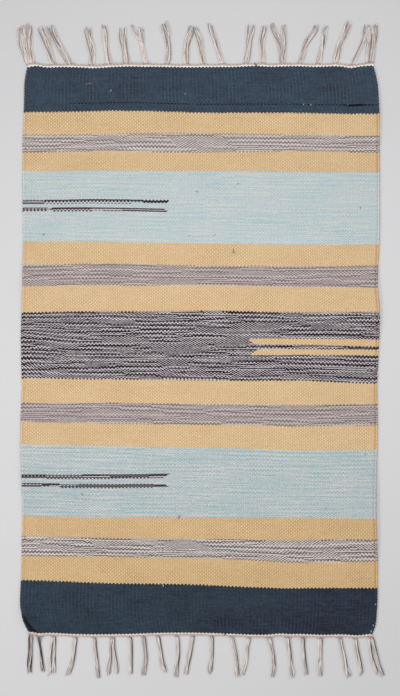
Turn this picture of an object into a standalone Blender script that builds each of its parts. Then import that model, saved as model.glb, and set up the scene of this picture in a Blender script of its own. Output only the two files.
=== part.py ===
"""Kilim rug: flat woven cotton with a fringe of bunched warps at each end.

Metres, +Z up. The rug lies on z = 0 with its warps along Y and its weft bands
along X. The origin is on the floor under the middle of the rug.
"""

import math
from typing import NamedTuple

import bmesh
import bpy
from mathutils import Vector

MM = 0.001

# Driving dimensions.
FIELD_LENGTH = 954 * MM  # first weft to last, along the warps
CLOTH = 3.0 * MM  # thickness of the beaten weft
HEADER_DEPTH = 5.5 * MM  # cream twined row outside the last weft
GAP = 0.3 * MM  # kept between pieces that touch

# A tassel's section, as half widths and half heights of the flattened bunch.
ROOT_HALF_WIDTH = 4.2 * MM
NECK_HALF_WIDTH = 2.9 * MM
TAIL_HALF_WIDTH = 3.6 * MM
ROOT_HALF_HEIGHT = 1.0 * MM
BODY_HALF_HEIGHT = 1.9 * MM
ROOT_INSET = 2.5 * MM  # how far a tassel starts inside its header
NECK_AT = 0.3  # share of the length where the bunch is narrowest
HEADING_STEP = 0.01  # share of the length used to find which way it points

# The ends of the field wave a little, and the front one draws in at its corners.
END_WAVE = 0.8 * MM
END_WAVE_LENGTH = 300 * MM
CORNER_DRAW = 5.0 * MM
CORNER_FROM = 268 * MM  # distance from the middle line where the drawing in starts
CORNER_SPAN = 24 * MM

# Resolution of the faceted solids.
COLUMNS = 22
ROWS = 40
TASSEL_SIDES = 8
TASSEL_RINGS = 4
EDGE_ROUND = 0.8 * MM


class Section(NamedTuple):
    """The cloth's two side edges at one distance along the warps, in mm."""

    along: float
    left: float
    right: float


class Fold(NamedTuple):
    """A soft ridge over a line on the floor, in mm."""

    start: tuple
    end: tuple
    spread: float
    rise: float


class Tassel(NamedTuple):
    """A bunch of warps: where it leaves the header and how it lies, in mm.

    Girth is its thickness as a share of a whole bunch.
    """

    root: float
    tip: float
    bow: float
    reach: float
    girth: float = 1.0


# One section for each place where the weaver's tension changed the width.
OUTLINE = (
    Section(-477, -290, 291),
    Section(-462, -298, 296),
    Section(-438, -303, 298.5),
    Section(-388, -302, 300),
    Section(-262, -300, 297),
    Section(-119, -303, 300),
    Section(-56, -301, 299),
    Section(0, -302.5, 301.5),
    Section(66, -301, 303),
    Section(109, -299.5, 300),
    Section(184, -299, 303),
    Section(336, -299.5, 303),
    Section(420, -297, 302),
    Section(454, -296, 299),
    Section(477, -292, 293),
)

FOLDS = (
    Fold((-300, -440), (-272, -480), 11, 5.5),  # buckled front left corner
    Fold((-304, 95), (-290, 125), 30, 2.2),  # flutter of the left selvedge
    Fold((-304, -210), (-292, -170), 34, 2.6),
    Fold((305, 60), (294, 90), 30, 2.4),  # flutter of the right selvedge
    Fold((304, -300), (288, -250), 36, 3.0),
    Fold((300, 380), (292, 410), 26, 1.8),
    Fold((-150, 478), (-110, 470), 26, 1.6),  # slack in the far end
    Fold((120, -478), (170, -470), 30, 1.8),  # slack in the near end
)

# Bunches from left to right. A split bunch is two thinner ones with one root.
BACK_TASSELS = (
    Tassel(-288, -303, -2, 60),
    Tassel(-281, -288, -3, 62),
    Tassel(-245, -266, -1, 60),
    Tassel(-216, -252, -2, 61),
    Tassel(-182, -191, 3, 60),
    Tassel(-153, -162, 0, 63),
    Tassel(-124, -131, 1, 58),
    Tassel(-91, -113, 5, 62, 0.75),
    Tassel(-90, -101, -1, 59, 0.75),
    Tassel(-56, -61, 5, 66),
    Tassel(-22, -17, -3, 61),
    Tassel(5, -8, 2, 59),
    Tassel(39, 18, -1, 65),
    Tassel(76, 85, 2, 62),
    Tassel(106, 106, -1, 60),
    Tassel(139, 123, 2, 64, 0.75),
    Tassel(140, 141, 2, 61, 0.75),
    Tassel(167, 194, -2, 62),
    Tassel(198, 212, 1, 60),
    Tassel(227, 249, -2, 66),
    Tassel(254, 281, 2, 63),
    Tassel(282, 286, -1, 60, 0.85),
    Tassel(289, 297, 0, 62, 0.85),
)

FRONT_TASSELS = (
    Tassel(-285, -286, -1, 62),
    Tassel(-273, -264, -1, 58, 0.85),
    Tassel(-249, -255, 0, 64, 0.75),
    Tassel(-246, -247, 1, 61, 0.75),
    Tassel(-210, -222, 2, 61),
    Tassel(-179, -171, -1, 65),
    Tassel(-149, -153, -1, 62, 0.75),
    Tassel(-147, -141, -1, 59, 0.75),
    Tassel(-119, -118, 2, 60),
    Tassel(-96, -94, 2, 63),
    Tassel(-72, -61, 0, 59),
    Tassel(-40, -41, 3, 66),
    Tassel(-12, -23, 0, 62),
    Tassel(19, 18, 1, 61),
    Tassel(52, 64, 1, 64),
    Tassel(82, 72, 0, 60),
    Tassel(115, 122, 3, 63),
    Tassel(146, 155, 0, 66),
    Tassel(172, 179, -1, 61),
    Tassel(202, 201, 0, 62, 1.2),
    Tassel(234, 250, -1, 64),
    Tassel(260, 272, -1, 60),
    Tassel(284, 296, -2, 61, 0.85),
    Tassel(288, 305, 0, 63, 0.85),
)

SAND = (0.66, 0.46, 0.26, 1.0)
CREAM = (0.58, 0.52, 0.46, 1.0)
COTTON_ROUGHNESS = 0.92


def smooth(value):
    """Ease from 0 to 1, flat at both ends and held beyond them."""
    value = min(max(value, 0.0), 1.0)
    return value * value * (3.0 - 2.0 * value)


def crowded(value):
    """Move a grid coordinate in -1 to 1 so that lines gather at the edges."""
    return 0.4 * value + 0.6 * math.sin(value * math.pi / 2.0)


def side_edges(along):
    """Left and right edge of the cloth at a distance along the warps."""
    along_mm = along / MM
    if along_mm <= OUTLINE[0].along:
        return OUTLINE[0].left * MM, OUTLINE[0].right * MM
    for low, high in zip(OUTLINE, OUTLINE[1:]):
        if along_mm <= high.along:
            share = smooth((along_mm - low.along) / (high.along - low.along))
            left = low.left + share * (high.left - low.left)
            right = low.right + share * (high.right - low.right)
            return left * MM, right * MM
    return OUTLINE[-1].left * MM, OUTLINE[-1].right * MM


def lift(x, y):
    """Height of the cloth's underside above the floor."""
    point = Vector((x / MM, y / MM))
    height = 0.0
    for fold in FOLDS:
        start, end = Vector(fold.start), Vector(fold.end)
        line = end - start
        share = min(max((point - start).dot(line) / line.length_squared, 0.0), 1.0)
        distance = (point - start - share * line).length
        height += fold.rise * smooth(1.0 - distance / (2.0 * fold.spread))
    return height * MM


def end_line(x, side):
    """Where the field stops at its back (side 1) or front (side -1) end."""
    wave = END_WAVE * math.sin(2.0 * math.pi * x / END_WAVE_LENGTH + side)
    draw = CORNER_DRAW * smooth((abs(x) - CORNER_FROM) / CORNER_SPAN) if side < 0 else 0.0
    return side * (FIELD_LENGTH / 2.0 + wave - draw)


def cotton(name, colour):
    """Matt cotton yarn of one colour."""
    material = bpy.data.materials.new(name)
    material.use_nodes = True
    shader = material.node_tree.nodes["Principled BSDF"]
    shader.inputs["Base Color"].default_value = colour
    shader.inputs["Roughness"].default_value = COTTON_ROUGHNESS
    shader.inputs["Metallic"].default_value = 0.0
    return material


def add_object(name, bm, material, collection):
    """Turn a finished bmesh into a named object in a collection."""
    mesh = bpy.data.meshes.new(name)
    bm.to_mesh(mesh)
    bm.free()
    mesh.materials.append(material)
    made = bpy.data.objects.new(name, mesh)
    collection.objects.link(made)
    return made


def thicken(made):
    """Give an open sheet the thickness of the cloth, upwards, with soft rims."""
    solidify = made.modifiers.new("thickness", "SOLIDIFY")
    solidify.thickness = CLOTH
    solidify.offset = 1.0
    bevel = made.modifiers.new("soft rim", "BEVEL")
    bevel.width = EDGE_ROUND
    bevel.segments = 1
    bevel.limit_method = "ANGLE"
    bevel.angle_limit = math.radians(60)


def make_field(collection):
    """The woven cloth, lying flat apart from its few soft folds."""
    bm = bmesh.new()
    bmesh.ops.create_grid(bm, x_segments=COLUMNS, y_segments=ROWS, size=1.0)
    for vert in bm.verts:
        across, along = crowded(vert.co.x), crowded(vert.co.y)
        left, right = side_edges(along * FIELD_LENGTH / 2.0)
        x = (left + right) / 2.0 + across * (right - left) / 2.0
        y = abs(along) * end_line(x, math.copysign(1.0, along))
        vert.co = Vector((x, y, lift(x, y)))
    thicken(add_object("field", bm, cotton("weft cotton", SAND), collection))


def header_strip(side):
    """The strip of twined warps outside the field, as an open sheet."""
    bm = bmesh.new()
    bmesh.ops.create_grid(bm, x_segments=COLUMNS, y_segments=1, size=1.0)
    left, right = side_edges(side * FIELD_LENGTH / 2.0)
    for vert in bm.verts:
        x = (left + right) / 2.0 + crowded(vert.co.x) * (right - left) / 2.0
        inner = end_line(x, side) + side * GAP
        outward = (1.0 + side * vert.co.y) / 2.0
        y = inner + side * outward * HEADER_DEPTH
        vert.co = Vector((x, y, lift(x, end_line(x, side))))
    return bm


def tassel_path(tassel, side, share):
    """Middle of a tassel at a share of its length, as seen from above."""
    root_x = tassel.root * MM
    start = end_line(root_x, side) + side * (GAP + HEADER_DEPTH - ROOT_INSET)
    x = root_x + (tassel.tip - tassel.root) * MM * share
    x += tassel.bow * MM * math.sin(math.pi * share)
    y = start + side * (ROOT_INSET + tassel.reach * MM) * share
    return Vector((x, y, 0.0))


def tassel_section(tassel, side, share):
    """Half width, half height and underside of a tassel at a share of its length."""
    if share < NECK_AT:
        width = ROOT_HALF_WIDTH + smooth(share / NECK_AT) * (NECK_HALF_WIDTH - ROOT_HALF_WIDTH)
    else:
        spread = smooth((share - NECK_AT) / (1.0 - NECK_AT))
        width = NECK_HALF_WIDTH + spread * (TAIL_HALF_WIDTH - NECK_HALF_WIDTH)
    fallen = smooth(share / NECK_AT)
    height = ROOT_HALF_HEIGHT + fallen * (BODY_HALF_HEIGHT - ROOT_HALF_HEIGHT)
    root_x = tassel.root * MM
    held = lift(root_x, end_line(root_x, side)) + CLOTH / 2.0 - ROOT_HALF_HEIGHT
    return tassel.girth * width, tassel.girth * height, held * (1.0 - fallen)


def make_tassel(name, tassel, side, material, collection):
    """One bunch of warps: a cylinder along its path, flattened onto the floor."""
    bm = bmesh.new()
    bmesh.ops.create_cone(
        bm, cap_ends=True, segments=TASSEL_SIDES, radius1=1.0, radius2=1.0, depth=1.0
    )
    lengthwise = [edge for edge in bm.edges if abs(edge.verts[0].co.z - edge.verts[1].co.z) > 0.5]
    bmesh.ops.subdivide_edges(bm, edges=lengthwise, cuts=TASSEL_RINGS)
    for vert in bm.verts:
        share = vert.co.z + 0.5
        across, up = vert.co.x, vert.co.y
        middle = tassel_path(tassel, side, share)
        before = tassel_path(tassel, side, share - HEADING_STEP)
        ahead = tassel_path(tassel, side, share + HEADING_STEP) - before
        sideways = ahead.normalized().cross(Vector((0.0, 0.0, 1.0)))
        width, height, underside = tassel_section(tassel, side, share)
        level = underside + (1.0 + up) * height
        vert.co = middle + across * width * sideways + Vector((0.0, 0.0, level))
    bmesh.ops.recalc_face_normals(bm, faces=bm.faces)
    made = add_object(name, bm, material, collection)
    made.display_type = "WIRE"
    made.hide_render = True


def make_fringe(name, side, tassels, collection):
    """One comb: the header strip with every tassel of its end grown into it."""
    material = cotton(name + " cotton", CREAM)
    bunches = bpy.data.collections.new(name + " bunches")
    bpy.context.scene.collection.children.link(bunches)
    for number, tassel in enumerate(tassels, start=1):
        make_tassel(f"{name}_bunch_{number:02d}", tassel, side, material, bunches)
    comb = add_object(name, header_strip(side), material, collection)
    thicken(comb)
    union = comb.modifiers.new("tassels", "BOOLEAN")
    union.operation = "UNION"
    union.operand_type = "COLLECTION"
    union.collection = bunches


def main():
    for made in list(bpy.data.objects):
        bpy.data.objects.remove(made, do_unlink=True)
    rug = bpy.data.collections.new("kilim rug")
    bpy.context.scene.collection.children.link(rug)
    make_field(rug)
    make_fringe("fringe_back", 1.0, BACK_TASSELS, rug)
    make_fringe("fringe_front", -1.0, FRONT_TASSELS, rug)


main()
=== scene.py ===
"""Kilim rug: the looks of a flat woven cotton rug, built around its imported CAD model.

Metres, +Z up. The rug lies on z = 0 with its warps along Y and its weft bands along X.
Every piece carries "Weave" coordinates: the warp rib it lies on, counted from the left
selvedge, and its distance along the warps in mm. The yarn materials are worked out
from those, so the colours follow the cloth where it bends.
"""

import math
import random
from typing import NamedTuple

import bpy
import numpy as np
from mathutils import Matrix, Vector

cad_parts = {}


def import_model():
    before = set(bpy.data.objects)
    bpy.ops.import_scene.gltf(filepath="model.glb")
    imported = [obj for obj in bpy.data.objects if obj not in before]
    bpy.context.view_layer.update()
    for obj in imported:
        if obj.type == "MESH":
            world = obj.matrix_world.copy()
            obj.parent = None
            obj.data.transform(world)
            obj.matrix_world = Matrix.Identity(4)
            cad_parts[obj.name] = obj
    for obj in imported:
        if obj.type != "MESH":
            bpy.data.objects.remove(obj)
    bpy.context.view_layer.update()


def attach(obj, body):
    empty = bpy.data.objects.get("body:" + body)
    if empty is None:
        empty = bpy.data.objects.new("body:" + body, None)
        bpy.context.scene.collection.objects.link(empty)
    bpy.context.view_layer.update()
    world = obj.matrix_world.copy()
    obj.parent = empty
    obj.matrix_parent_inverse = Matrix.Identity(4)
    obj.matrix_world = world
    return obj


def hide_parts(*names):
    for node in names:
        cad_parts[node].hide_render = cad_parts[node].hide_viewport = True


MM = 0.001
SEED = 7

# The rug's main sizes. They are the CAD model's, apart from a shallower header.
FIELD_LENGTH = 954 * MM  # first weft to last, along the warps
HALF = FIELD_LENGTH / MM / 2.0  # the same from the middle, in mm
CLOTH = 3.0 * MM  # thickness of the beaten weft
HEADER_DEPTH = 4.4 * MM  # cream row outside the last weft, beaten in
GAP = 0.3 * MM  # between the field and its headers
ROOT_HALF_WIDTH = 4.2 * MM
NECK_HALF_WIDTH = 2.9 * MM
TAIL_HALF_WIDTH = 3.6 * MM
ROOT_INSET = 2.5 * MM  # how far a tassel starts inside its header
NECK_AT = 0.3

# The cloth.
RIBS = 198  # warp ribs, selvedge to selvedge
COLUMNS_PER_RIB = 3
RIB_PITCH = 3.03  # mm
RIB_HEIGHT = 0.55 * MM  # crest to valley
RIB_FULLNESS = 0.7
SELVEDGE_RIBS = 4.0 / 3.0  # where a groove sets off the outer warps
SELVEDGE_RISE = 0.25 * MM
SELVEDGE_GROOVE = 0.5 * MM
LEFT_GROOVE = 0.5  # share of the right one
SIDE_ROUNDING = 0.8  # ribs
END_ROUNDING = 2.0  # mm
RIM_THICKNESS = 0.3  # share of the cloth's thickness
TOOTH = 0.8  # mm, how far the last pick of a band reaches into the next
BLUE_TOOTH = 0.35  # the share of it at the softer blue yarn
BAR_TOOTH = {-1.0: 0.15, 1.0: 0.5}  # mm, for the bars of each side
END_TOOTH = 0.85 * MM  # how far the end picks reach into the header
ROW_STEP = 18.0  # mm, longest step between the mesh's rows
CORNER_ROW_STEP = 3.6  # mm, finer rows for the buckled corner
CORNER_ROWS_END = -430.0  # mm
SLACK = 0.25 * MM
SLACK_WAVES = ((0.043, 1.3, 0.11), (0.061, 1.7, 0.09))  # metres, radians, metres
EDGE_RIPPLE = 0.4  # mm that a band's edge wavers
EDGE_WAVE = 0.037  # metres
CREASE_START = (-300, -439)  # mm, the sharp side of the buckled corner
CREASE_END = (-274, -478)
CREASE_BOW = 3.0  # mm
CREASE_WIDTH = 4.0  # mm over which the cloth drops to the floor
CREASE_SHADE = 0.98
CREASE_REACH = 1.6  # mm that its shade reaches at its start
CREASE_OPENING = 2.4  # mm more at its end
OUTSIDE_SHADE = 0.45
GAP_ROW = 414.3  # mm, where a pick of the far navy is missing
GAP_ROW_WIDTH = 2.0  # mm
GAP_ROW_DEPTH = 0.5 * MM
GAP_ROW_START = 72.0  # mm from the left selvedge
GAP_ROW_EASE = 12.0  # mm over which it opens
GAP_ROW_OPEN = 560.0  # mm, where it is widest
GAP_ROW_SPREAD = 15.0  # mm
GAP_ROW_FADE = 1100.0  # mm over which its dashes fade out
BAKE_FACE = (0.008, 0.97)  # place and size in the baked texture
BAKE_REST = ((0.64, 0.01), 0.55)

# The weft's turns round the outer warps.
TURN_DEPTH = 1.1 * MM
TURN_PITCH = 5.0  # mm
TURN_PITCHES = (0.92, 1.08)
TURN_MARGINS = (2.0, 1.5)  # mm left free at the front and back
TURN_RADIUS = 0.85 * MM
TURN_SWELLS = (0.9, 1.1)
TURN_ARC = 0.62  # half turns each way
TURN_RINGS = 7
TURN_BOW = 1.6 * MM
TURN_SKEW = 0.3 * MM
TURN_RISE = 0.37

# The headers and their cords.
HEADER_ROWS = (0.0, 0.12, 0.3, 0.5, 0.7, 0.88, 1.0)
HEADER_INSET = 0.5 * MM
HEADER_BULGE = 0.7
HEADER_PICKS = 1.5
CORD_RADIUS = 0.6 * MM
CORD_LAY = 0.75  # radii from the cord's middle to a ply
CORD_PITCH = 6.06 * MM
CORD_STEPS = 8  # rings in each turn of the cord
CORD_INSET = 1.0 * MM
CORD_ROOM = 1.7 * MM  # depth that the cord takes
BULGE = 0.6 * MM
BULGE_WIDTH = 6 * MM
WRAP_RADIUS = 0.6 * MM
WRAP_ARC = (-0.05, 1.05)  # half turns
WRAP_TONE = 0.1

# The bunches of warps.
STRAND_RADIUS = 0.85 * MM
STRAND_SIZES = (0.85, 1.05)
STRAND_LENGTHS = (0.98, 1.08)
STRAND_TONES = (0.5, 1.0)
STRANDS = 11
FEWEST_STRANDS = 3
BACK_SHADED_EVERY = 4  # one strand in so many is dark: painted shade in the slits between strands
# In a bunch with painted shade, one strand in so many is darkened.
SHADED_EVERY = 2
STRAND_SIDES = 8
STRAND_RINGS = 34
PLY_PITCH = 8 * MM
PLY_WAIST = 0.68  # share of the radius left between plies
HELD_BY = 0.15  # share of the length held by the header
OPEN_BY = 0.2  # share of the length where it has opened up
TWISTS = (-3.2, 3.2)  # radians from root to tip
LOCKS = 3
LOCK_SPREAD = 0.6  # half widths from a bunch's middle to a lock
SEAT_JITTER = 0.3  # radians
WANDER = 1.0 * MM  # how far a strand strays inside its bunch
WANDER_RATES = (5.0, 11.0)
SWAY = 1.5 * MM  # how far a whole bunch strays
SWAY_RATES = (3.0, 8.0)
FLARES = (-0.1, 0.5)  # how much further out a strand's tip lies
FLARE_FROM = 0.6
TAPER = 0.35
TAPER_FROM = 0.9
OUTER_STRAND = -0.9  # half widths to a front bunch's first strand, the dark one that paints a shadow line along the bunch's side
BUNCH_HEIGHT = 2.2 * MM
BACK_LOOSENESS = 1.95
FRONT_LOOSENESS = 1.15
GOLDEN_ANGLE = 2.4
ROOT_REACH = 8.0  # mm at the root that take painted shade
ROOT_SHADE = 0.6
SLUB_RINGS = 9
SLUB_CURL = 0.1
SLUB_DUST = (0.3, 0.28, 0.27, 1.0)

# The yarns.
PICK = 2.5  # mm between picks of the plain yarns
MARL_PICK = 1.75  # mm between picks of the marled yarns
MARL_LEAN = 0.8  # most picks that a marled float slants
MARL_SHADE = 0.06
LAP_START = 436.0  # mm, where the sand beside the light marl has one pick more
LAP_END = 549.0
LAP_RISE = 1.6  # mm
# Painted shade in the grooves beside the selvedges, and on the rims outside them.
GROOVE_PAINTED_SHADE = (0.78, 0.7, 0.62, 1.0)
GROOVE_WIDTH = 0.5  # ribs
GROOVE_FADE = 2.5  # how fast stripes fade it
RIM_SHADE = 0.4  # share of the groove's painted shade that falls outside the groove, on the rim
RIM_PAINTED_HIGHLIGHT = 0.12  # how much lighter the weft is where it turns: a painted highlight on its loops
RIM_RIBS = 1.2
PALE_CORNER = 0.25  # how much paler the near navy starts
PALE_REACH = 900.0  # mm over which it darkens by a tone
SPECULAR = 0.06
SHEEN_ROUGHNESS = 0.6
NOISE_GAIN = 2.4  # brings noise to about -1 to 1
RELIEF = 0.35 * MM
YARN_RELIEF = 0.1 * MM

# The studio.
LENS = 70.0
VIEW_HEIGHT = 1.1728  # metres seen from top to bottom
VIEW_CENTRE = 3.6 * MM
FLOOR_DROP = -0.1 * MM
FLOOR_SIZE = 20.0
FLOOR_COLOUR = (216, 216, 218)
SKY = 0.48
SKY_COLOUR = (1.0, 0.995, 0.99, 1.0)
LIGHTS = (
    ("top light", (0.0, 0.08, 1.0), (0.0, 0.08, 0.0), 0.6, 4.1, (1.0, 1.0, 1.0)),
    ("near light", (-1.8, -1.25, 1.5), (0.0, -0.2, 0.0), 0.35, 19.0, (1.0, 0.99, 0.98)),
    ("far light", (1.8, 1.5, 1.7), (0.0, 0.2, 0.0), 0.9, 8.3, (1.0, 1.0, 0.99)),
)


class Noise(NamedTuple):
    """Soft noise: grain across and along, a layer of its own, and strength."""

    across: float
    along: float
    layer: int
    strength: float = 1.0


class Tassel(NamedTuple):
    """A bunch of warps: its ends' places across, bow and length, in mm."""

    root: float
    tip: float
    bow: float
    reach: float
    girth: float = 1.0
    painted_shade: float = 0.0  # how much darker its grey strands are, as painted shade


class Yarn(NamedTuple):
    """A weft yarn: its darker and lighter ply in sRGB, and how far they show."""

    dark: tuple
    light: tuple
    marl: float = 0.0  # how strongly the plies alternate
    stripe: float = 0.0  # warp-wise pinstripe of two tones
    lattice: float = 1.0  # depth of shade between floats
    ground: float = 0.0  # how much more the dark ply shows

    def colours(self):
        """The plies and how they show, as colours."""
        return linear(self.dark), linear(self.light), (*self[2:5], 1.0)


class Bar(NamedTuple):
    """A short inlaid stripe that ends inside a band, in mm and ribs.

    Each draft has the rib it starts at and, pick by pick from far to near, what shows
    on the odd and on the even warps.
    """

    yarn: str
    far: float
    near: float
    tip: float  # rib that its pointed end reaches
    slope: float  # ribs that the rest of the end falls back
    point: float  # 0 on the near side, 1 on the far side
    tilt: float  # how far the bar rises in 100 ribs
    drafts: tuple = ()


class Bunch(NamedTuple):
    """How the strands of one bunch lie together."""

    twist: float
    rate: float  # of its sway
    phase: float
    looseness: float
    dark_every: int  # one strand in so many is dark, as painted shade


# The cloth's outline in mm: distance along the warps, left edge and right edge.
OUTLINE = (
    (-477, -290, 291), (-462, -298, 296), (-438, -303, 298.5), (-388, -302, 300), (-262, -300, 297),
    (-119, -303, 300), (-56, -301, 299), (0, -302.5, 301.5), (66, -301, 303), (109, -299.5, 300),
    (184, -299, 303), (336, -299.5, 303), (420, -297, 302), (454, -296, 299), (477, -292, 293),
)

# Soft ridges over lines on the floor, in mm: start, end, spread and rise.
FOLDS = (
    ((-300, -440), (-272, -480), 11, 5.5),  # buckled front left corner
    ((-304, 95), (-290, 125), 30, 2.2),
    ((-304, -210), (-292, -170), 34, 2.6),
    ((305, 60), (294, 90), 30, 2.4),
    ((304, -300), (288, -250), 36, 3.0),
    ((300, 380), (292, 410), 26, 1.8),
    ((-150, 478), (-110, 470), 26, 1.6),
    ((120, -478), (170, -470), 30, 1.8),
)

BACK_TASSELS = [Tassel(*row) for row in (
    (-288, -303, -2, 60), (-281, -288, -3, 62), (-245, -266, -1, 60), (-216, -252, -2, 61),
    (-182, -191, 3, 60), (-153, -162, 0, 63), (-124, -131, 1, 58), (-91, -113, 5, 62, 0.75),
    (-90, -101, -1, 59, 0.75), (-56, -61, 5, 66), (-22, -17, -3, 61), (5, -8, 2, 59),
    (39, 18, -1, 65), (76, 85, 2, 62), (106, 106, -1, 60), (139, 123, 2, 64, 0.75),
    (140, 141, 2, 61, 0.75), (167, 194, -2, 62), (198, 212, 1, 60), (227, 249, -2, 66),
    (254, 281, 2, 63), (282, 286, -1, 60, 0.85), (289, 297, 0, 62, 0.85),
)]

# In the first two bunches the sixth number is painted shade on their grey strands.
FRONT_TASSELS = [Tassel(*row) for row in (
    (-285, -286, -1, 62, 1.0, 0.6), (-273, -264, -1, 58, 0.85, 0.5), (-249, -255, 0, 64, 0.75),
    (-246, -247, 1, 61, 0.75), (-210, -222, 2, 61), (-179, -171, -1, 65),
    (-149, -153, -1, 62, 0.75), (-147, -141, -1, 59, 0.75), (-119, -118, 2, 60), (-96, -94, 2, 63),
    (-72, -61, 0, 59), (-40, -41, 3, 66), (-12, -23, 0, 62), (19, 18, 1, 61), (52, 64, 1, 64),
    (82, 72, 0, 60), (115, 122, 3, 63), (146, 155, 0, 66), (172, 179, -1, 61),
    (202, 201, 0, 62, 1.2), (234, 250, -1, 64), (260, 272, -1, 60), (284, 296, -2, 61, 0.85),
    (288, 305, 0, 63, 0.85),
)]

# Loose strands that fan out at the back left corner.
BACK_STRAYS = [Tassel(*row) for row in (
    (-286, -297, 4, 61, 0.4), (-283, -300, -4, 60, 0.4), (-282, -293, -5, 62, 0.4),
    (-288, -290, 5, 59, 0.4), (-280, -299, 2, 61, 0.4),
)]

# How far the ends stray outwards, in mm: place across and distance.
BACK_LINE = (
    (-291, -1.2), (-276, 1.2), (-261, -1.0), (-231, -0.6), (-200, -1.3), (-185, -2.3), (-140, -0.5),
    (-110, 0.1), (-95, -0.4), (-79, -0.1), (-50, -0.5), (-20, -1.0), (27, -0.5), (57, -0.4),
    (72, 0.3), (88, 1.1), (118, 0.1), (163, 0.9), (194, -0.2), (239, 0.2), (254, -2.1), (270, 0.4),
    (285, 1.6),
)
FRONT_LINE = (
    (-291, -3.4), (-276, -1.9), (-246, -1.1), (-215, 0.6), (-125, 0.7), (-64, -1.3), (0, -1.3),
    (57, 0.4), (80, 1.4), (118, 1.1), (133, -0.4), (150, 0.4), (165, 0.3), (209, 2.0), (240, 1.5),
    (268, 2.8), (285, 0.8),
)

# From the far end: yarn, and where the far edge lies at each station, in mm.
BAND_STATIONS = (-300 * MM, -150 * MM, 0.0, 150 * MM, 300 * MM)
BANDS = (
    ("far navy", 477, 477, 477, 477, 477),
    ("pale sand", 400, 403, 400, 399, 397.5),
    ("light marl", 362, 363.5, 365.5, 362, 361.5),
    ("sand", 333, 335, 332.5, 334.5, 332),
    ("blue", 301.5, 302, 301.5, 300.5, 299),
    ("sand", 183, 182.5, 179.5, 177.5, 177.5),
    ("grey marl", 143.5, 145.5, 142, 141, 142),
    ("sand", 108, 109, 109, 107, 104),
    ("dark marl", 63.5, 65, 66, 64, 63.5),
    ("sand", -47.5, -48.5, -51, -51, -56.5),
    ("grey marl", -88.5, -89, -90.5, -92.5, -91),
    ("sand", -120, -123.5, -125, -128, -126.5),
    ("near blue", -158, -162, -164, -168.5, -168),
    ("near sand", -279.5, -281.5, -281.5, -282, -283),
    ("near marl", -313, -316.5, -318, -319.5, -318.5),
    ("near sand", -346, -348, -349.5, -357, -356),
    ("near navy", -387, -392, -395, -401, -400),
)
EDGED = BANDS[:0:-1]  # those whose far edge lies inside the field, from the near end

# The near yarns are darker than their far namesakes partly by dye and partly as painted shade for
# the dimmer near end.
YARNS = {
    "far navy": Yarn((51, 53, 68), (67, 87, 102), 0.0, 0.85, 0.8),
    "near navy": Yarn((36, 36, 50), (57, 76, 89), 0.0, 0.55, 0.6),
    "pale sand": Yarn((212, 179, 133), (236, 206, 164), 0.0, 0.0, 1.15),
    "sand": Yarn((208, 175, 130), (231, 201, 160), 0.0, 0.0, 0.95),
    "near sand": Yarn((202, 167, 119), (227, 196, 152), 0.0, 0.0, 1.05),
    "blue": Yarn((154, 191, 200), (223, 215, 210), 0.4, 0.2, 0.4),
    "near blue": Yarn((134, 173, 180), (222, 214, 211), 0.45, 0.2, 0.4),
    "light marl": Yarn((135, 121, 122), (213, 206, 202), 1.0, 0.0, 0.3, 0.03),
    "near marl": Yarn((112, 98, 99), (217, 211, 206), 1.0, 0.0, 0.3, 0.03),
    "grey marl": Yarn((128, 113, 115), (200, 189, 187), 1.0, 0.0, 0.3, 0.05),
    "dark marl": Yarn((42, 34, 46), (212, 205, 207), 1.0, 0.0, 0.35, 0.36),
    "inlay": Yarn((54, 44, 56), (200, 191, 192), 1.0, 0.0, 0.3),
}

# The marks of the drafts: whether the inlay shows, and how pale it is.
MARKS = {
    "#": (1.0, 0.0, 0.0, 1.0),
    "+": (1.0, 0.3, 0.0, 1.0),
    "o": (1.0, 1.0, 0.0, 1.0),
    ".": (0.0, 0.0, 0.0, 1.0),
}
# Inlaid bars that start at the left selvedge, then at the right.
LEFT_BARS = (
    Bar("inlay", 251.3, 243.7, 79.0, 3, 0.0, 1.8, (
        (0, "+. ## oo #+ +#"), (12, "## #+ #o .. o#"), (60, "#+ ## +. .. .."),
        (67, "#. ## ## .# .."),
    )),
    Bar("inlay", 238.0, 230.4, 78.5, 3, 1.0, 0.0, (
        (0, "## +o #+ #o .."), (14, ".. ++ o+ .. .."), (16, "## ## +o o# .+"),
        (38, "## ++ oo +o .."), (45, "## ## oo oo +# o+ .."), (55, "## ## oo ## ## .. .."),
    )),
    Bar("inlay", -213.1, -220.7, 79.0, 4, 0.0, 5.8, (
        (0, "#+ #+ #+ +# .."), (14, ".+ #+ o# #+ +# #."), (34, "## ## oo ## #."),
        (43, "## +# oo ## #."), (49, "#+ +# #+ ## +."), (61, "+# #+ +# #+ #."),
        (71, "#+ ## +# oo #+"),
    )),
    Bar("inlay", -227.5, -234.9, 79.0, 4, 1.0, 3.3, (
        (0, "## o+ #+ +# .."), (11, "#+ ## ## +. .."), (15, "## ## o+ +o .."),
        (21, ".. ## +o ## #."), (31, "#. +# #+ +# #."), (74, ".. #+ ## +# .."),
    )),
)
RIGHT_BARS = (
    Bar("sand", 20.1, 9.6, 125.8, 7, 0.7, 0.0),
    Bar("sand", -4.5, -14.3, 127.0, 5, 0.1, 4.5),
)

# Rows that rise towards the left selvedge, in mm: place, spread, rise and reach.
BENDS = ((250, 45, 0.7, 38), (12, 50, 7, 80))

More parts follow.
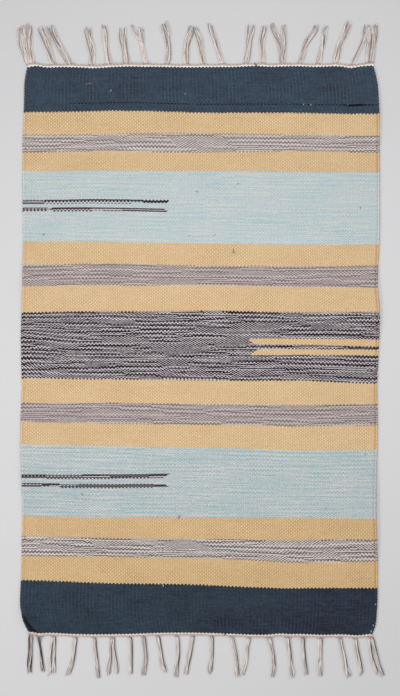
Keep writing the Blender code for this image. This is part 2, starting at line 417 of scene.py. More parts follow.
# Soft noise on the yarns, with its grain in mm.
EDGE_STRAY = Noise(14, 9, 10, 0.4)
TOOTH_STRAY = Noise(20, 4, 11, 0.4)
LEAN = Noise(120, 60, 25, 1.6)
DYE = (Noise(55, 2.1, 20, 0.35), Noise(11, 2.6, 28, 0.3), Noise(70, 40, 21, 0.35))
PATCHES = Noise(30, 45, 22, 1.3)
MOTTLE = (Noise(18, 14, 26, 0.35), Noise(5, 4, 29, 0.4))
SPECKS = Noise(3.5, 3, 27, 2.5)
PICK_STRAY = Noise(35, 18, 23, 0.9)
LATTICE_STRAY = Noise(35, 35, 24, 0.25)
DASHES = Noise(16, 1, 31, 0.8)
FIBRE = Noise(0.9, 0.7, 30, 0.12)
# On the marled yarns the second grain is in turns of the yarn or in picks.
OWN_TURN = Noise(120, 1 / 7.31, 1, 0.8)
AGREEING_TURNS = Noise(110, 1 / 0.17, 2, 0.6)
ALTERNATE_FLOATS = Noise(110, 1 / 5.17, 3, 0.6)
ZIGZAG = Noise(90, 1 / 0.13, 6, 0.7)
PLY_STRENGTH = Noise(70, 1 / 3.3, 5, 0.35)
MARL_DRIFT = Noise(60, 1 / 0.35, 4, 0.3)
# One grain of these is in bars, and for strands and slubs in tones.
BAR_STRAY = Noise(45, 1 / 3.7, 40, 0.5)
TIP_STRAY = Noise(0.5, 1.6, 50)
STRAND_STRAY = Noise(1 / 30, 14, 1, 0.7)
STRAND_FIBRE = Noise(1 / 50, 0.8, 2)
SLUB_FIBRE = Noise(0.4, 1, 3)

TINTS = {
    "red": (146, 62, 56),
    "dark": (60, 64, 74),
    "pale": (222, 222, 224),
    "mauve": (150, 116, 122),
    "orange": (178, 124, 86),
    "sand": (214, 182, 136),
}

# Stray yarn: tint, place in mm, length, direction in turns, radius.
SLUBS = (
    ("red", -187, 448.4, 14, -0.02, 0.8), ("red", -184, 447.6, 5, 0.3, 0.5),
    ("pale", -150, 436.8, 4, 0.1, 0.6), ("pale", -25, 431.5, 3, 0.2, 0.4),
    ("pale", 174.4, 413.6, 3, 0.1, 0.5), ("pale", 186.5, 413.2, 3, 0.3, 0.5),
    ("mauve", 249, 413, 3, 0.2, 0.5), ("dark", 94, 480, 8, 0.81, 0.9),
    ("dark", -262.9, 194.1, 4, 0.9, 0.6), ("mauve", -5, 266.6, 4, 0.85, 0.5),
    ("dark", 64, 280, 3, 0.1, 0.4), ("dark", 269.6, 239.6, 3, 0.2, 0.5),
    ("mauve", -18.5, 192.4, 3, 0.0, 0.4), ("dark", 25, 194, 3, 0.6, 0.4),
    ("mauve", 55.6, 167, 8, 0.2, 0.6), ("mauve", 57.5, 164.5, 5, 0.9, 0.5),
    ("orange", -198.8, -242.3, 6, 0.85, 0.5), ("dark", -35.4, -281, 7, 0.15, 0.7),
    ("dark", 278, -175, 3, 0.9, 0.5), ("mauve", 212, -266, 3, 0.1, 0.4),
    ("sand", -62, -396, 5, 0.25, 0.8), ("dark", 41.5, -477.5, 5, 0.8, 0.9),
    ("pale", 294.9, -427.7, 3, 0.1, 0.5), ("pale", 291.5, -463, 3, 0.3, 0.6),
    ("pale", 288, -473, 4, 0.2, 0.6),
)

# Lighter and darker tone in sRGB, and how much painted shade darkens the root. The darker tone also
# paints the shade of the dark strands.
COTTONS = {
    "far warp": ((240, 232, 226), (158, 140, 132)),
    "near warp": ((240, 232, 226), (94, 80, 76), ROOT_SHADE),
    "header": ((246, 243, 236), (214, 206, 196)),
    "front header": ((234, 219, 210), (204, 184, 174)),
    "twined": ((224, 206, 198), (190, 164, 156)),
}


# ---- layout


def smooth(value):
    """Ease from 0 to 1, flat at both ends and held beyond them."""
    value = np.clip(value, 0.0, 1.0)
    return value * value * (3.0 - 2.0 * value)


def beyond(share, start):
    """Ease from 0 at a share of the way to 1 at the end."""
    return smooth((share - start) / (1.0 - start))


def beside(*parts):
    """A column for each part, which may be a single number."""
    return np.stack(np.broadcast_arrays(*parts), axis=-1)


def follow(at, stations, values):
    """A smooth curve through values at stations, held beyond them."""
    stations, values = np.array(stations, float), np.array(values, float)
    at = np.clip(at, stations[0], stations[-1])
    slopes = np.gradient(values, stations)
    index = np.clip(np.searchsorted(stations, at) - 1, 0, len(stations) - 2)
    gap = stations[index + 1] - stations[index]
    share = (at - stations[index]) / gap
    bend = share * (1.0 - share) ** 2 * slopes[index]
    bend = bend - share**2 * (1.0 - share) * slopes[index + 1]
    return values[index] + smooth(share) * (values[index + 1] - values[index]) + gap * bend


def side_edges(along):
    """Left and right edge of the cloth at a distance along the warps in mm."""
    stations, left, right = zip(*OUTLINE)
    return follow(along, stations, left) * MM, follow(along, stations, right) * MM


def crease_place(x, y):
    """Distance inwards from the crease in mm, and the share of the way along it."""
    point = beside(x, y) / MM
    line = np.subtract(CREASE_END, CREASE_START)
    share = (point - CREASE_START) @ line / (line @ line)
    inwards = (point - CREASE_START) @ np.array([-line[1], line[0]]) / np.linalg.norm(line)
    held = np.clip(share, 0.0, 1.0)
    return inwards + 4.0 * CREASE_BOW * held * (1.0 - held), share


def crease_shade(x, y):
    """How dark the crease and the sunk corner outside it are, from 0 to 1."""
    inwards, share = crease_place(x, y)
    reach = CREASE_REACH + CREASE_OPENING * np.clip(share, 0.0, 1.0)
    ends = smooth((share + 0.02) * 3.5) * smooth((1.15 - share) * 8.0)
    deep = smooth(1.5 - np.abs(inwards - 0.5) / reach) * ends
    outside = OUTSIDE_SHADE * (inwards < 0.0) * smooth(share * 3.0)
    return np.maximum(deep, outside)


def lift(x, y):
    """Height of the cloth's underside above the floor."""
    point = beside(x, y) / MM
    height = np.zeros(point.shape[:-1])
    for start, end, spread, rise in FOLDS:
        line = np.subtract(end, start)
        share = np.clip((point - start) @ line / (line @ line), 0.0, 1.0)
        distance = np.linalg.norm(point - start - share[..., None] * line, axis=-1)
        height += rise * smooth(1.0 - distance / (2.0 * spread))
    inwards, _ = crease_place(x, y)
    return height * MM * smooth((inwards + 1.0) / CREASE_WIDTH)


def slack(x, y):
    """Slight unevenness of the cloth."""
    waves = 0.0
    for first, second, (length, bend, cross) in zip((x, y), (y, x), SLACK_WAVES):
        waves = waves + np.sin(first / length + bend * np.sin(second / cross))
    return SLACK * (1.0 + 0.5 * waves) / 2.0


def end_line(x, side):
    """Where the field stops at its back (side 1) or front (side -1) end."""
    places, strays = zip(*(BACK_LINE if side > 0 else FRONT_LINE))
    return side * (HALF + follow(np.asarray(x) / MM, places, strays)) * MM


def nominal(band):
    """The distance in mm that a band's far edge is counted at."""
    return sum(band[1:]) / len(BAND_STATIONS)


def shift(band, x):
    """How far a band's far edge strays from there at each x."""
    at = np.interp(x, BAND_STATIONS, band[1:])
    ripple = EDGE_RIPPLE * np.sin(x / EDGE_WAVE + band[1])
    return (at + ripple - nominal(band)) * MM


def row_position(along, x):
    """Where the row at a nominal distance in mm lies at each x."""
    marks = [-HALF, *map(nominal, EDGED), HALF]
    shifts = [end_line(x, -1.0) + HALF * MM, *(shift(band, x) for band in EDGED)]
    shifts.append(end_line(x, 1.0) - HALF * MM)
    index = int(np.clip(np.searchsorted(marks, along) - 1, 0, len(marks) - 2))
    share = (along - marks[index]) / (marks[index + 1] - marks[index])
    stray = (1.0 - share) * shifts[index] + share * shifts[index + 1]
    for place, spread, rise, reach in BENDS:
        near = smooth(1.0 - abs(along - place) / spread)
        stray = stray + rise * MM * near * smooth(1.0 - (x / MM - OUTLINE[0][1]) / reach)
    return along * MM + stray


def tassel_path(tassel, side, share):
    """Middle of a tassel at shares of its length, as seen from above."""
    root_x = tassel.root * MM
    start = end_line(root_x, side) + side * (GAP + HEADER_DEPTH - ROOT_INSET)
    x = root_x + (tassel.tip - tassel.root) * MM * share
    x = x + tassel.bow * MM * np.sin(math.pi * share)
    return x, start + side * (ROOT_INSET + tassel.reach * MM) * share


def tassel_half_width(tassel, share):
    """Half width of a bunch at shares of its length."""
    neck = ROOT_HALF_WIDTH + smooth(share / NECK_AT) * (NECK_HALF_WIDTH - ROOT_HALF_WIDTH)
    spread = beyond(share, NECK_AT) * (TAIL_HALF_WIDTH - NECK_HALF_WIDTH)
    return tassel.girth * (neck + spread)


# ---- meshes


def corners(mesh):
    """The vertex at each corner of the mesh's faces."""
    index = np.zeros(len(mesh.loops), np.int32)
    mesh.loops.foreach_get("vertex_index", index)
    return index


def add_map(mesh, name, values):
    """Add a UV map from a pair of values for each face corner."""
    mesh.uv_layers.new(name=name).data.foreach_set("uv", values.astype(np.float32).ravel())


def new_object(name, data):
    """An object of the scene."""
    made = bpy.data.objects.new(name, data)
    bpy.context.scene.collection.objects.link(made)
    return made


class Shape:
    """Vertices, faces and weave coordinates gathered for one mesh."""

    def __init__(self):
        self.points, self.weave, self.faces, self.count = [], [], [], 0

    def add(self, points, weave, *faces):
        """Take in a part: its points, their weave coordinates and its faces."""
        self.points.append(points)
        self.weave.append(weave)
        for group in faces:
            self.faces.extend((group + self.count).tolist())
        self.count += len(points)

    def build(self, name, material):
        """Make the mesh object."""
        weave, points = np.concatenate(self.weave), np.concatenate(self.points)
        mesh = bpy.data.meshes.new(name)
        mesh.from_pydata(points.tolist(), [], self.faces)
        mesh.polygons.foreach_set("use_smooth", np.ones(len(self.faces), bool))
        dark = crease_shade(points[:, 0], points[:, 1])
        add_map(mesh, "Weave", weave[corners(mesh)])
        add_map(mesh, "Crease", beside(dark, dark)[corners(mesh)])
        mesh.materials.append(material)
        return new_object(name, mesh)


def grid(columns, rows):
    """Quads of a grid of points stored row by row, and the points round its edge."""
    index = np.arange(columns * rows).reshape(rows, columns)
    corner = index[:-1, :-1].ravel()
    faces = beside(corner, corner + 1, corner + columns + 1, corner + columns)
    rim = (index[0], index[1:, -1], index[-1, -2::-1], index[-2:0:-1, 0])
    return faces, np.concatenate(rim)


def sweep(shape, path, radius, weave, sides=6, reference=(0.0, 0.0, 1.0), plies=None):
    """Add a closed tube along a path. Plies is the lay of a two-ply yarn at each ring."""
    rings = len(path)
    ahead = np.gradient(path, axis=0)
    ahead /= np.linalg.norm(ahead, axis=1)[:, None]
    across = np.cross(ahead, reference)
    across /= np.linalg.norm(across, axis=1)[:, None]
    above = np.cross(across, ahead)
    turn = np.arange(sides) * math.tau / sides
    reach = np.broadcast_to(radius, rings)[:, None]
    if plies is not None:
        reach = reach * (PLY_WAIST + (1.0 - PLY_WAIST) * np.abs(np.cos(turn - plies[:, None])))
    ring = np.cos(turn)[:, None] * across[:, None] + np.sin(turn)[:, None] * above[:, None]
    points = path[:, None] + np.broadcast_to(reach, (rings, sides))[..., None] * ring
    points = np.concatenate([points.reshape(-1, 3), path[:1], path[-1:]])
    first = np.arange(sides)
    second = np.roll(first, -1)
    start = np.arange(rings - 1)[:, None] * sides
    here, there = (start + first).ravel(), (start + second).ravel()
    wall = beside(here, there, there + sides, here + sides)
    last, middle = (rings - 1) * sides, rings * sides
    head = beside(second, first, middle)
    tail = beside(first + last, second + last, middle + 1)
    around = np.concatenate([np.repeat(weave, sides, axis=0), weave[:1], weave[-1:]])
    shape.add(points, around, wall, head, tail)


def mesh_rows():
    """Nominal distances of the field's rows in mm: at every band edge and in between."""
    rows = [-HALF, -HALF + END_ROUNDING]
    while rows[-1] + CORNER_ROW_STEP < CORNER_ROWS_END:
        rows.append(rows[-1] + CORNER_ROW_STEP)
    marks = [rows[-1], *map(nominal, EDGED), GAP_ROW - GAP_ROW_WIDTH, GAP_ROW]
    marks += [GAP_ROW + GAP_ROW_WIDTH, HALF]
    for low, high in zip(marks, marks[1:]):
        steps = math.ceil((high - low) / ROW_STEP)
        rows += [low + (high - low) * step / steps for step in range(1, steps + 1)]
    return np.array(rows[:-1] + [HALF - 2.0 * END_ROUNDING, HALF - END_ROUNDING, HALF])


def slab(cloth, flipped=False):
    """A closed sheet, and how many faces its top has.

    Each row of the cloth gives x, y, middle height, half thickness, rib and distance.
    """
    top = [beside(x, y, middle + reach) for x, y, middle, reach, *_ in cloth]
    bottom = [beside(x, y, middle - reach) for x, y, middle, reach, *_ in cloth]
    weave = [beside(*row[4:]) for row in cloth]
    face, rim = grid(len(top[0]), len(top))
    ahead, under = np.roll(rim, -1), len(top[0]) * len(top)
    groups = [face, face[:, ::-1] + under, beside(rim, rim + under, ahead + under, ahead)]
    if flipped:
        groups = [group[:, ::-1] for group in groups]
    shape = Shape()
    shape.add(np.concatenate(top + bottom), np.concatenate(weave + weave), *groups)
    return shape, len(face)


def rounded(share):
    """A rim's thickness at shares of the way in from its edge."""
    return RIM_THICKNESS + (1.0 - RIM_THICKNESS) * np.sqrt(1.0 - (1.0 - share) ** 2)


def warp_ribs():
    """Rib coordinates, how full each rib is there, and which way the picks step."""
    rib = np.arange(RIBS * COLUMNS_PER_RIB + 1) / COLUMNS_PER_RIB
    arch = np.abs(np.sin(math.pi * rib))
    return rib, arch**RIB_FULLNESS, np.where(np.floor(rib) % 2 == 0, 1.0, -1.0) * arch


def cloth_profile(rib, crest, along):
    """Half the cloth's thickness at each rib coordinate."""
    inside = np.minimum(rib, RIBS - rib)
    groove = np.isclose(inside, SELVEDGE_RIBS) * np.where(rib < RIBS / 2.0, LEFT_GROOVE, 1.0)
    height = CLOTH / 2.0 - RIB_HEIGHT * (1.0 - crest) - SELVEDGE_GROOVE * groove
    height = height + SELVEDGE_RISE * (inside < SELVEDGE_RIBS - 0.01) * crest
    height = height - GAP_ROW_DEPTH * max(0.0, 1.0 - abs(along - GAP_ROW) / GAP_ROW_WIDTH)
    sides = np.clip(inside / SIDE_ROUNDING, 0.0, 1.0)
    ends = np.clip((HALF - abs(along)) / END_ROUNDING, 0.0, 1.0)
    return height * rounded(sides) * rounded(ends)


def make_field(material):
    """The cloth as one closed mesh, with a ridge over every warp."""
    rows = mesh_rows()
    rib, crest, parity = warp_ribs()
    cloth = []
    for number, along in enumerate(rows):
        left, right = side_edges(along)
        x = left + TURN_DEPTH + (right - left - 2.0 * TURN_DEPTH) * rib / RIBS
        y = row_position(along, x)
        if number in (0, len(rows) - 1):
            y = y + END_TOOTH * parity
        middle = lift(x, y) + slack(x, y) + CLOTH / 2.0
        cloth.append((x, y, middle, cloth_profile(rib, crest, along), rib, along))
    shape, faces = slab(cloth)
    made = shape.build("rug_field", material)
    add_bake_map(made, faces)
    return made


def add_bake_map(made, top_faces):
    """A map for baked textures that gives the rug's face most of the room."""
    points = np.array([vertex.co.xy for vertex in made.data.vertices])
    place = (points[corners(made.data)] - points.min(axis=0)) / FIELD_LENGTH
    uv = BAKE_FACE[0] + BAKE_FACE[1] * place
    uv[top_faces * 4:] = BAKE_REST[0] + BAKE_REST[1] * place[top_faces * 4:]
    add_map(made.data, "OFBake", uv)


def make_turns(name, side, material):
    """The weft's turns round the outer warp of one selvedge."""
    shape = Shape()
    draw = random.Random(SEED + int(side))
    angle = np.linspace(-TURN_ARC, TURN_ARC, TURN_RINGS) * math.pi
    along = -HALF + TURN_MARGINS[0]
    while along < HALF - TURN_MARGINS[1]:
        edge = side_edges(along)[side > 0] - side * TURN_DEPTH
        y = row_position(along, edge)
        z = lift(edge, y) + slack(edge, y) + CLOTH / 2.0
        radius = TURN_RADIUS * draw.uniform(*TURN_SWELLS)
        out = edge + side * ((TURN_DEPTH - radius) + (np.cos(angle) - 1.0) * TURN_BOW)
        skew = draw.uniform(-TURN_SKEW, TURN_SKEW)
        rise = TURN_RISE * CLOTH / 2.0 * np.sin(angle)
        path = beside(out, y + skew * np.sin(angle), z + rise)
        rib = RIBS + 0.5 if side > 0 else -0.5
        weave = beside(np.full_like(angle, rib), along)
        sweep(shape, path, radius, weave, reference=(0.0, 1.0, 0.0))
        along += TURN_PITCH * draw.uniform(*TURN_PITCHES)
    return shape.build(name, material)


def make_header(name, side, tassels, material):
    """The cream picks outside the last band."""
    rib, crest, parity = warp_ribs()
    left, right = side_edges(side * HALF)
    x = left + HEADER_INSET + (right - left - 2.0 * HEADER_INSET) * rib / RIBS
    cloth = []
    for share in HEADER_ROWS:
        depth = GAP + share * (HEADER_DEPTH - CORD_ROOM - GAP + HEADER_BULGE * bulge(x, tassels))
        y = end_line(x, side) + side * depth + END_TOOTH * parity * (1.0 - share)
        middle = lift(x, end_line(x, side)) + slack(x, y) + CLOTH / 2.0
        float_high = 0.5 + 0.5 * parity * math.cos(math.pi * share * HEADER_PICKS)
        reach = CLOTH / 2.0 * (0.45 + 0.2 * crest + 0.3 * float_high)
        reach = reach * math.sqrt(1.0 - (2.0 * share - 1.0) ** 4 * 0.8)
        cloth.append((x, y, middle, reach, rib, depth / MM))
    return slab(cloth, side < 0)[0].build(name, material)


def bulge(x, tassels):
    """How far the bunches push the cord outwards, in metres."""
    reach = np.zeros_like(x)
    for tassel in tassels:
        reach += np.exp(-(((x - tassel.root * MM) / BULGE_WIDTH) ** 2))
    return BULGE * np.minimum(reach, 1.0)


def make_cord(name, side, tassels, material):
    """The two-ply cord twined along the outer side of a header."""
    shape = Shape()
    left, right = side_edges(side * HALF)
    turns = (right - left - 2.0 * CORD_INSET) / CORD_PITCH
    angle = np.linspace(0.0, math.tau * turns, int(turns * CORD_STEPS))
    x = np.linspace(left + CORD_INSET, right - CORD_INSET, len(angle))
    y = end_line(x, side) + side * (HEADER_DEPTH - CORD_RADIUS + bulge(x, tassels))
    z = lift(x, end_line(x, side)) + slack(x, y) + CLOTH / 2.0
    for ply in (0.0, math.pi):
        reach = CORD_RADIUS * CORD_LAY
        path = beside(x, y + reach * np.cos(angle + ply), z + reach * np.sin(angle + ply))
        sweep(shape, path, CORD_RADIUS, beside(ply, x / MM))
    for tassel in tassels:
        add_wrap(shape, tassel, side)
    return shape.build(name, material)


def add_wrap(shape, tassel, side):
    """The twining yarn where it crosses over the root of a bunch."""
    angle = np.linspace(*WRAP_ARC, 9) * math.pi
    root_x = tassel.root * MM
    end = end_line(root_x, side)
    y = end + side * (HEADER_DEPTH + BULGE + WRAP_RADIUS * (0.6 + np.cos(angle)))
    z = lift(root_x, end) + CLOTH / 2.0 + (BUNCH_HEIGHT / 2.0 + WRAP_RADIUS) * np.sin(angle)
    x = root_x + ROOT_HALF_WIDTH * tassel.girth * np.cos(angle)
    weave = beside(WRAP_TONE, angle)
    sweep(shape, beside(x, y, z), WRAP_RADIUS, weave, reference=(0.0, 1.0, 0.0))


def add_strand(shape, tassel, side, seat, bunch, draw):
    """One plied warp of a bunch. Seat is its place: radius share, angle and number."""
    share = np.linspace(0.0, draw.uniform(*STRAND_LENGTHS), STRAND_RINGS)
    x, y = tassel_path(tassel, side, share)
    loose = beyond(share, HELD_BY)
    lock = bunch.phase + bunch.twist * share + math.tau * (seat[2] % LOCKS) / LOCKS
    swing = seat[1] + draw.uniform(-SEAT_JITTER, SEAT_JITTER) + bunch.twist * share
    flare = 1.0 + draw.uniform(*FLARES) * beyond(share, FLARE_FROM)
    opened = 1.0 + (bunch.looseness - 1.0) * smooth(share / OPEN_BY)
    width = tassel_half_width(tassel, share) * opened
    inner = (1.0 - LOCK_SPREAD) * (width - STRAND_RADIUS) * seat[0] * flare
    outer = LOCK_SPREAD * (width - STRAND_RADIUS) * smooth(share / HELD_BY) * np.cos(lock)
    phase = draw.uniform(0.0, math.tau)
    wander = WANDER * loose * np.sin(draw.uniform(*WANDER_RATES) * share + phase)
    sway = SWAY * loose * np.sin(bunch.rate * share + bunch.phase)
    along = beside(np.gradient(x), np.gradient(y))
    along /= np.linalg.norm(along, axis=1)[:, None]
    sideways = inner * np.cos(swing) + outer + wander + sway
    # A front bunch's dark first strand lies along its side as a painted shadow line.
    if side < 0 and not seat[2]:
        sideways = OUTER_STRAND * width * smooth(share / HELD_BY) + sway
    x, y = x + sideways * along[:, 1], y - sideways * along[:, 0]
    held = lift(tassel.root * MM, end_line(tassel.root * MM, side)) + CLOTH / 2.0
    fallen = smooth(share / NECK_AT)
    stack = BUNCH_HEIGHT * tassel.girth * (0.6 * seat[0] * (1.0 + np.sin(swing)) / 2.0)
    stack = stack + 0.4 * BUNCH_HEIGHT * tassel.girth * (1.0 + np.sin(lock)) / 2.0
    z = held * (1.0 - fallen) + fallen * (1.08 * STRAND_RADIUS + stack)
    lay = math.tau * share * tassel.reach * MM / PLY_PITCH + phase
    radius = STRAND_RADIUS * draw.uniform(*STRAND_SIZES) * (1.0 - TAPER * beyond(share, TAPER_FROM))
    # Dark strands take a tone of 0 or below: painted shade.
    tone = draw.uniform(*STRAND_TONES) if seat[2] % bunch.dark_every else -tassel.painted_shade
    weave = beside(tone, share * tassel.reach)
    sweep(shape, beside(x, y, z), radius, weave, STRAND_SIDES, plies=lay)


def make_bunches(name, side, tassels, looseness, material):
    """Every bunch of warps at one end."""
    shape = Shape()
    draw = random.Random(SEED + 10 + int(side))
    for tassel in tassels:
        strands = max(FEWEST_STRANDS, round(STRANDS * tassel.girth))
        twist, rate = draw.uniform(*TWISTS), draw.uniform(*SWAY_RATES)
        # Strands darkened as painted shade: every second in a shaded bunch, one in four at the
        # back, the first at the front.
        dark_every = SHADED_EVERY if tassel.painted_shade else BACK_SHADED_EVERY if side > 0 else strands
        bunch = Bunch(twist, rate, draw.uniform(0.0, math.tau), looseness, dark_every)
        for number in range(strands):
            seat = (math.sqrt((number + 0.5) / strands), number * GOLDEN_ANGLE, number)
            add_strand(shape, tassel, side, seat, bunch, draw)
    return shape.build(name, material)


def make_slubs(name, material):
    """Scraps of stray yarn that lie in the cloth's face."""
    shape = Shape()
    share = np.linspace(-0.5, 0.5, SLUB_RINGS)
    for tint, middle_x, middle_y, length, turn, radius in SLUBS:
        ahead = length * MM * share
        aside = SLUB_CURL * length * MM * np.sin(math.tau * share)
        cosine, sine = math.cos(math.tau * turn), math.sin(math.tau * turn)
        x = middle_x * MM + ahead * cosine - aside * sine
        y = middle_y * MM + ahead * sine + aside * cosine
        fullness = np.cos(math.pi * share)
        z = lift(x, y) + slack(x, y) + CLOTH + radius * MM * (0.4 + fullness)
        weave = beside(list(TINTS).index(tint), ahead / MM)
        sweep(shape, beside(x, y, z), radius * MM * (0.5 + 0.5 * fullness), weave)
    return shape.build(name, material)


# ---- materials


def math_node(operation, flipped=False):
    """A method that adds a Math node to a Wire's graph."""

    def method(self, *others):
        values = (*others, self) if flipped else (self, *others)
        return self.graph.math(operation, *values)

    return method


class Wire:
    """A shader value that formulas can be written with."""

    def __init__(self, graph, socket):
        self.graph, self.socket = graph, socket

    __add__ = __radd__ = math_node("ADD")
    __sub__ = math_node("SUBTRACT")
    __rsub__ = math_node("SUBTRACT", flipped=True)
    __mul__ = __rmul__ = math_node("MULTIPLY")
    __truediv__ = math_node("DIVIDE")
    __gt__ = math_node("GREATER_THAN")
    __lt__ = math_node("LESS_THAN")
    __abs__ = math_node("ABSOLUTE")


class Graph:
    """One material's nodes, added by the formulas that use them."""

    def __init__(self, name):
        self.material = bpy.data.materials.new(name)
        self.material.use_nodes = True
        self.tree = self.material.node_tree
        self.shader = self.tree.nodes["Principled BSDF"]

    def put(self, kind, inputs, output=0, **settings):
        """Add a node, feed its inputs and return one output."""
        node = self.tree.nodes.new("ShaderNode" + kind)
        for key, value in settings.items():
            setattr(node, key, value)
        for key, value in inputs.items():
            self.feed(node.inputs[key], value)
        return Wire(self, node.outputs[output])

    def feed(self, socket, value):
        """Link a value to a socket, or set the socket to it."""
        if isinstance(value, Wire):
            self.tree.links.new(value.socket, socket)
        else:
            socket.default_value = value

    def math(self, operation, *values):
        return self.put("Math", dict(enumerate(values)), operation=operation)

    def floor(self, value):
        return self.math("FLOOR", value)

    def clamp(self, value, low=0.0, high=1.0):
        return self.put("Clamp", {0: value, 1: low, 2: high})

    def blend(self, share, first, second):
        """A number between two others."""
        return first + (second - first) * share

    def mix(self, share, first, second, **how):
        """A colour between two others."""
        node = {0: share, 6: first, 7: second}
        return self.put("Mix", node, output=2, data_type="RGBA", **how)

    def scale(self, colour, factor):
        return self.put("VectorMath", {0: colour, 3: factor}, operation="SCALE")

    def read(self, name):
        """The two values of a UV map."""
        place = self.put("UVMap", {}, uv_map=name)
        split = self.put("SeparateXYZ", {0: place})
        return split, Wire(self, split.socket.node.outputs[1])

    def point(self, x, y, z=0.0):
        return self.put("CombineXYZ", {0: x, 1: y, 2: z})

    def noise(self, kind, x, y, detail=0.0):
        """Soft noise round 0, as strong each way as its kind says."""
        place = self.point(x / kind.across, y / kind.along, kind.layer + SEED)
        inputs = {"Vector": place, "Scale": 1.0, "Detail": detail}
        return (self.put("TexNoise", inputs) - 0.5) * (NOISE_GAIN * kind.strength)

    def parity(self, number):
        """1 for an even whole number and -1 for an odd one."""
        return 1.0 - 2.0 * self.math("FLOORED_MODULO", number, 2.0)

    def speckle(self, x, y):
        """A different number from -1 to 1 for every pair of whole numbers."""
        white = self.put("TexWhiteNoise", {"Vector": self.point(x, y)}, noise_dimensions="2D")
        return white * 2.0 - 1.0

    def choose(self, number, colours):
        """One of a row of colours, by a whole number from 0."""
        wire = self.put("ValToRGB", {0: (number + 0.5) / len(colours)})
        ramp = wire.socket.node.color_ramp
        ramp.interpolation = "CONSTANT"
        ramp.elements[0].color = colours[0]
        ramp.elements.remove(ramp.elements[1])
        for place, colour in enumerate(colours[1:], start=1):
            ramp.elements.new(place / len(colours)).color = colour
        return wire

    def split(self, colour):
        """The three parts of a colour."""
        red = self.put("SeparateColor", {0: colour})
        return [Wire(self, output) for output in red.socket.node.outputs]

    def bump(self, height, distance):
        """Relief on top of the mesh's own shape."""
        normal = self.put("Bump", {"Height": height, "Distance": distance})
        self.feed(self.shader.inputs["Normal"], normal)

    def finish(self, colour, roughness, sheen):
        """Connect the colour and set what is the same all over."""
        self.feed(self.shader.inputs["Base Color"], colour)
        self.shader.inputs["Roughness"].default_value = roughness
        self.shader.inputs["Specular IOR Level"].default_value = SPECULAR
        self.shader.inputs["Sheen Weight"].default_value = sheen
        self.shader.inputs["Sheen Roughness"].default_value = SHEEN_ROUGHNESS
        return self.material


def linear(colour):
    """An sRGB colour of 0 to 255 as the linear colour a shader takes."""
    parts = (part / 255.0 for part in colour)
    parts = [p / 12.92 if p <= 0.04045 else ((p + 0.055) / 1.055) ** 2.4 for p in parts]
    return (*parts, 1.0)


def inlaid(graph, bars, side, rib, along, sign):
    """1 inside one side's inlaid bars, and how pale they are there."""
    x = rib * RIB_PITCH
    covered, pale = 0.0, 0.0
    for number, bar in enumerate(bars):
        level = along - rib * (bar.tilt / 100.0) + graph.noise(BAR_STRAY, x, number)
        share = (level - bar.near) / (bar.far - bar.near)
        tip = bar.tip + abs(share - bar.point) * bar.slope
        tip = tip + graph.noise(TIP_STRAY, number, along)
        reaches = (rib > tip) if side > 0 else (rib < tip)
        here = (share > 0.0) * (share < 1.0) * reaches
        shown = MARKS["#"]
        for start, draft in bar.drafts:
            picks = draft.split()
            pick = graph.floor((1.0 - share) * len(picks))
            cell = pick * 2.0 + (1.0 - sign) * 0.5
            woven = graph.choose(cell, [MARKS[mark] for mark in "".join(picks)])
            shown = graph.mix(rib > start, shown, woven)
        shows, light, _ = graph.split(shown)
        covered = covered + here * shows
        pale = pale + here * light
    return covered, pale


def marl_tone(graph, rib, along, column, sign, lean, ground):
    """-1 where a marled yarn shows its dark ply, 1 where it shows its light one.

    The two plies lie side by side, so each float is part dark and part light. Where
    the yarn has turned over, the parts change places: passes that agree make a fine
    checker, passes that differ make zigzags, and floats that alternate make lines.
    """
    x = rib * RIB_PITCH
    pick = along / MARL_PICK + (rib - column - 0.5) * lean * MARL_LEAN
    odd = (1.0 - sign) * 0.5
    turn = graph.floor((pick - odd + 1.0) * 0.5)
    turned = graph.noise(OWN_TURN, x, turn) + graph.noise(AGREEING_TURNS, x, turn)
    turned = turned + graph.noise(ALTERNATE_FLOATS, x, turn) * sign
    turned = turned + (graph.noise(ZIGZAG, x, turn) + 0.1) * graph.parity(turn)
    side = (pick - turn * 2.0 - odd) * graph.math("SIGN", turned) - ground
    side = graph.math("SIGN", side) * (graph.noise(PLY_STRENGTH, x, turn) + 0.85)
    side = side + graph.noise(MARL_DRIFT, x, pick)
    return side + graph.speckle(column, turn) * 0.2 - MARL_SHADE


def plain_tone(graph, rib, along, column, sign, stripe):
    """How pale a plain dyed yarn is, round 0."""
    x = rib * RIB_PITCH
    dye = sum(graph.noise(kind, x, along) for kind in DYE)
    mottle = sum(graph.noise(kind, x, along) for kind in MOTTLE)
    patches = graph.clamp(graph.noise(PATCHES, x, along) + 0.45)
    specks = graph.clamp(graph.noise(SPECKS, x, along) - 1.7)
    grain = 0.25 * graph.speckle(column, graph.floor(along / PICK))
    return dye + grain + stripe * (0.5 * sign * patches + mottle - specks)


def band_number(x, even, teeth):
    """The band that a place lies in, counted from the near end."""
    edge = even + teeth
    lap = (x > LAP_START) * (x < LAP_END) * LAP_RISE
    number = 0.0
    for (above, *_), band in zip(BANDS, BANDS[1:]):
        level = even + teeth * BLUE_TOOTH if "blue" in above + band[0] else edge
        level = level - lap if above == "light marl" else level
        number = number + (level > nominal(band))
    return number


def missing_pick(graph, x, along, sign):
    """How open the row of the missing pick is, from 0 to 1."""
    dashes = graph.noise(DASHES, x, 0.5) + 0.4 + 0.8 * sign
    dashes = dashes * graph.clamp(1.3 - x / GAP_ROW_FADE)
    wide = graph.clamp(1.6 - abs(x - GAP_ROW_OPEN) / GAP_ROW_SPREAD)
    off = abs(along - GAP_ROW) / (0.5 * GAP_ROW_WIDTH)
    begun = graph.clamp((x - GAP_ROW_START) / GAP_ROW_EASE)
    return graph.clamp(1.4 + 0.7 * wide - off) * begun * graph.clamp(dashes + 2.0 * wide)


